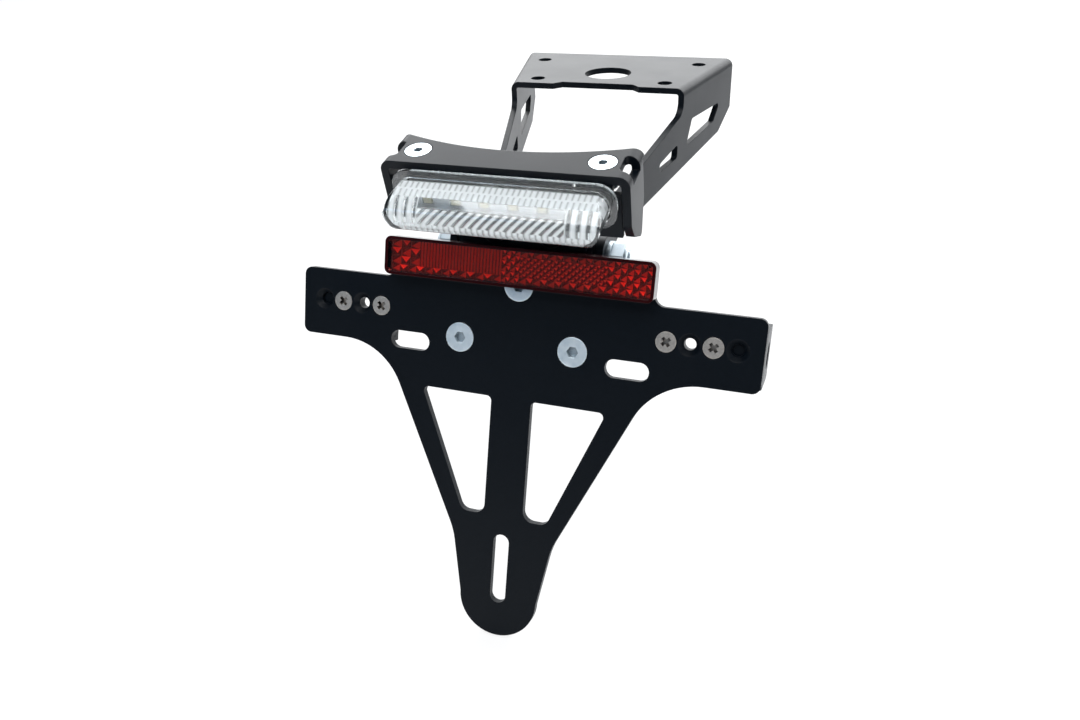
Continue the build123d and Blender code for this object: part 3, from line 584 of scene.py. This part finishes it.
def make_floor():
    """White sweep: it shows white to the camera and keeps a faint shadow."""
    material, tree = start("studio_floor")
    glow = add(tree, "ShaderNodeEmission", {"Color": srgb("#ffffff"), "Strength": 1.0})
    matte = add(tree, "ShaderNodeBsdfDiffuse", {"Color": srgb("#f4f4f4")})
    share = background_share(tree, FLOOR_WHITE, FLOOR_SHINE)
    mix = add(tree, "ShaderNodeMixShader", {0: share, 1: matte.outputs[0], 2: glow.outputs[0]})
    add(tree, "ShaderNodeOutputMaterial", {"Surface": mix.outputs[0]})
    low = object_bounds()[0][2]
    mesh = bpy.data.meshes.new("floor")
    signs = ((-1, -1), (1, -1), (1, 1), (-1, 1))
    corners = [(x * FLOOR_REACH, y * FLOOR_REACH, low) for x, y in signs]
    mesh.from_pydata(corners, [], [(0, 1, 2, 3)])
    mesh.materials.append(material)
    floor = bpy.data.objects.new("floor", mesh)
    bpy.context.scene.collection.objects.link(floor)


def make_world():
    """Soft white room, dimmer and bluer on the viewer's side; the camera sees plain white."""
    world = bpy.data.worlds.new("studio")
    bpy.context.scene.world = world
    world.use_nodes = True
    tree = world.node_tree
    tree.nodes.clear()
    aim = add(tree, "ShaderNodeTexCoord")
    split = add(tree, "ShaderNodeSeparateXYZ", {0: aim.outputs["Generated"]})
    level = add(tree, "ShaderNodeMapRange", {
        "Value": split.outputs["Y"], "From Min": -0.7, "From Max": 0.6,
        "To Min": ROOM_NEAR, "To Max": ROOM_FAR})
    tint = add(tree, "ShaderNodeMixRGB", {
        "Fac": level.outputs[0], "Color1": srgb("#86b6e0"), "Color2": srgb("#ffffff")})
    share = background_share(tree, ROOM_WHITE, ROOM_SHINE)
    strength = add(tree, "ShaderNodeMix", {0: share, 2: level.outputs[0], 3: 1.0}, data_type="FLOAT")
    colour = add(tree, "ShaderNodeMixRGB", {
        "Fac": share, "Color1": tint.outputs[0], "Color2": srgb("#ffffff")})
    shade = add(tree, "ShaderNodeBackground", {"Color": colour.outputs[0], "Strength": strength.outputs[0]})
    add(tree, "ShaderNodeOutputWorld", {"Surface": shade.outputs[0]})


def soft_box(name, at, size, radiance, colour):
    """A rectangular soft light of a given brightness, aimed at the object."""
    light = bpy.data.lights.new(name, "AREA")
    light.shape = "RECTANGLE"
    light.size, light.size_y = size
    light.color = srgb(colour)[:3]
    light.energy = math.pi * radiance * size[0] * size[1]
    item = bpy.data.objects.new(name, light)
    item.location = at
    item.rotation_euler = (LIGHTS_AIM - Vector(at)).to_track_quat("-Z", "Y").to_euler()
    bpy.context.scene.collection.objects.link(item)


def make_lights():
    """Large soft boxes behind, above and to the right of the object, and a small bluish card behind
    the viewer."""
    soft_box("rear_box", at=(0.0, 1.2, 0.85), size=(2.6, 1.3), radiance=4.6, colour="#fbfdff")
    soft_box("top_box", at=(0.05, -0.75, 1.15), size=(1.3, 0.8), radiance=5.5, colour="#ffffff")
    soft_box("right_box", at=(1.4, -0.1, 0.35), size=(1.1, 1.1), radiance=1.2, colour="#ffffff")
    soft_box("front_card", at=(-0.68, -1.2, 0.64), size=(0.5, 0.3), radiance=2.2, colour="#b4d6f6")


def make_camera():
    """The photograph's own view."""
    data = bpy.data.cameras.new("camera")
    data.sensor_width = SENSOR
    data.sensor_fit = "HORIZONTAL"
    data.lens = FOCAL_PIXELS / FRAME_PIXELS * SENSOR
    camera = bpy.data.objects.new("camera", data)
    right = CARRIER_AXES @ CAMERA_RIGHT
    up = CARRIER_AXES @ -CAMERA_DOWN
    back = CARRIER_AXES @ -CAMERA_AHEAD
    turn = Matrix((right, up, back)).transposed().to_4x4()
    camera.matrix_world = Matrix.Translation(on_carrier(*CAMERA_AT)) @ turn
    bpy.context.scene.collection.objects.link(camera)
    bpy.context.scene.camera = camera


bpy.context.scene.view_settings.view_transform = "Standard"
make_camera()
make_world()
make_lights()
make_floor()

dress(powder_coated_steel(),
      "tail_bracket", "carrier_plate", "carrier_bracket", "lamp_hood", "lamp_bracket",
      "indicator_bracket_left", "indicator_bracket_right")
dress(zinc_plated_steel(),
      "carrier_bolts", "carrier_washers", "carrier_nuts", "hood_screws", "hood_nuts", "lamp_studs",
      "lamp_washers", "lamp_nuts", "flange_washers", "flange_nuts", "clamp_bolts",
      "clamp_washers", "clamp_nuts")
dress(cold_headed_stainless_steel(), "indicator_screws", "indicator_washers", "indicator_nuts")
# Deep black with a soft shine
dress(fine_grained("moulded_black_abs", "#0c0d0f", rough=0.3), "lamp_base")
# Very dark red with a tight but weak shine
dress(fine_grained("moulded_red_abs", "#240304", rough=0.2, level=0.2), "reflector_base")
# Charcoal with a broad, dull shine
dress(fine_grained("black_oxide_steel", "#101114", rough=0.45), "flange_screws")
# Black and almost matte
dress(fine_grained("moulded_epdm_rubber", "#0d0d0e", rough=0.65),
      "lamp_gasket", "cable_grommet", "reflector_pad")
dress(vacuum_metallised_abs(), "lamp_tray")
# Even off-white, half matte
dress(fine_grained("solder_masked_board", "#b4b9b6", rough=0.5), "led_board")
# Pale yellow and glossy
dress(fine_grained("poured_phosphor_silicone", "#c9c3a0", rough=0.25), "leds")
make_lens(moulded_clear_polycarbonate(), moulded_fluted_polycarbonate())
make_reflector(moulded_red_acrylic(), moulded_prism_acrylic())
